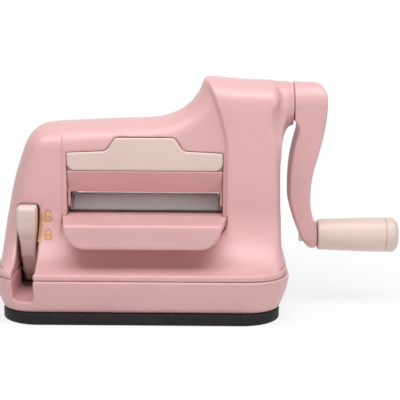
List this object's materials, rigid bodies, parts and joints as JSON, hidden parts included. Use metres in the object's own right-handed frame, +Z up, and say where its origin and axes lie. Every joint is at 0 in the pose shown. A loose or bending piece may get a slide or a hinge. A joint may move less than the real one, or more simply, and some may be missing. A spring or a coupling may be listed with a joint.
{
  "type": "die cutting machine",
  "caption": "Hand-cranked tabletop die cutting machine with coupled rollers, fold-down feed trays, a gear tower and a lever-locked suction foot.",
  "frame": {"origin": "centre of the foot's underside, on the table, where the suction disc lies", "axes": "+X along the machine towards the crank, -Y the front with the lock lever, +Z up"},
  "size_m": [0.2209, 0.112, 0.1268],
  "materials": {
    "pink": "satin moulded ABS, pale pink",
    "cream": "satin moulded ABS, cream",
    "roller": "smooth white acetal sleeve",
    "rubber": "matt black rubber",
    "steel": "zinc-plated steel",
    "bronze": "sintered bronze",
    "nylon": "moulded nylon"
  },
  "bodies": {
    "base": {"base_pad": "rubber", "base_plate": "steel", "lower_housing": "pink", "upper_housing_front": "pink", "upper_housing_rear": "pink", "shelf_front": "pink", "shelf_rear": "pink", "dust_strip_front": "rubber", "dust_strip_rear": "rubber", "side_frame_left": "steel", "side_frame_right": "steel", "gear_frame": "steel", "tie_rod_1": "steel", "tie_rod_2": "steel", "tie_rod_3": "steel", "bush_lower_left": "bronze", "bush_lower_right": "bronze", "bush_lower_outer": "bronze", "bush_upper_left": "bronze", "bush_upper_right": "bronze", "bush_upper_outer": "bronze", "bush_crank_inner": "bronze", "bush_crank_outer": "bronze", "idler_axle": "steel", "lever_bracket": "steel", "cam_bracket": "steel", "screw_1": "steel", "screw_2": "steel", "screw_3": "steel", "screw_4": "steel", "screw_5": "steel"},
    "crank": {"crank_gear": "steel", "crank_shaft": "steel", "crank_arm": "pink", "crank_screw": "steel", "crank_cap": "pink", "grip_bolt": "steel"},
    "hand_grip": {"grip": "cream", "grip_cap": "cream"},
    "idler": {"idler_gear": "nylon"},
    "upper_roller": {"upper_sleeve": "roller", "upper_shaft": "steel", "upper_gear": "nylon"},
    "lower_roller": {"lower_sleeve": "roller", "lower_shaft": "steel", "lower_gear": "nylon"},
    "front_tray": {"tray_front_frame": "pink", "tray_front_plate": "cream"},
    "rear_tray": {"tray_rear_frame": "pink", "tray_rear_plate": "cream"},
    "lever": {"lock_lever": "cream", "lever_shaft": "steel", "lever_cam": "nylon"},
    "suction": {"suction_disc": "rubber", "suction_stud": "steel"}
  },
  "joints": [
    {"name": "crank_spin", "type": "hinge", "parent": "base", "child": "crank", "pos_m": [0.07, 0, 0.1123], "axis": [1, 0, 0], "continuous": true},
    {"name": "grip_spin", "type": "hinge", "parent": "crank", "child": "hand_grip", "pos_m": [0.12, 0, 0.0385], "axis": [1, 0, 0], "continuous": true},
    {"name": "idler_spin", "type": "hinge", "parent": "base", "child": "idler", "pos_m": [0.055, 0.00997, 0.09978], "axis": [1, 0, 0], "continuous": true},
    {"name": "upper_roller_spin", "type": "hinge", "parent": "base", "child": "upper_roller", "pos_m": [0, 0, 0.0785], "axis": [1, 0, 0], "continuous": true},
    {"name": "lower_roller_spin", "type": "hinge", "parent": "base", "child": "lower_roller", "pos_m": [0, 0, 0.0495], "axis": [1, 0, 0], "continuous": true},
    {"name": "front_tray_fold", "type": "hinge", "parent": "base", "child": "front_tray", "pos_m": [0, -0.018, 0.0599], "axis": [1, 0, 0], "range_deg": [0, 90]},
    {"name": "rear_tray_fold", "type": "hinge", "parent": "base", "child": "rear_tray", "pos_m": [0, 0.018, 0.0599], "axis": [-1, 0, 0], "range_deg": [0, 90]},
    {"name": "lock_lever_swing", "type": "hinge", "parent": "base", "child": "lever", "pos_m": [-0.061, -0.009, 0.02], "axis": [1, 0, 0], "range_deg": [0, 42]},
    {"name": "suction_lift", "type": "slide", "parent": "base", "child": "suction", "axis": [0, 0, 1], "range_m": [0, 0.0025]}
  ],
  "couplings": [
    {"joint": "idler_spin", "follows": "crank_spin", "ratio": -0.77778},
    {"joint": "upper_roller_spin", "follows": "crank_spin", "ratio": 0.48276},
    {"joint": "lower_roller_spin", "follows": "crank_spin", "ratio": -0.48276},
    {"joint": "suction_lift", "follows": "lock_lever_swing", "m_per_rad": 0.0034}
  ]
}
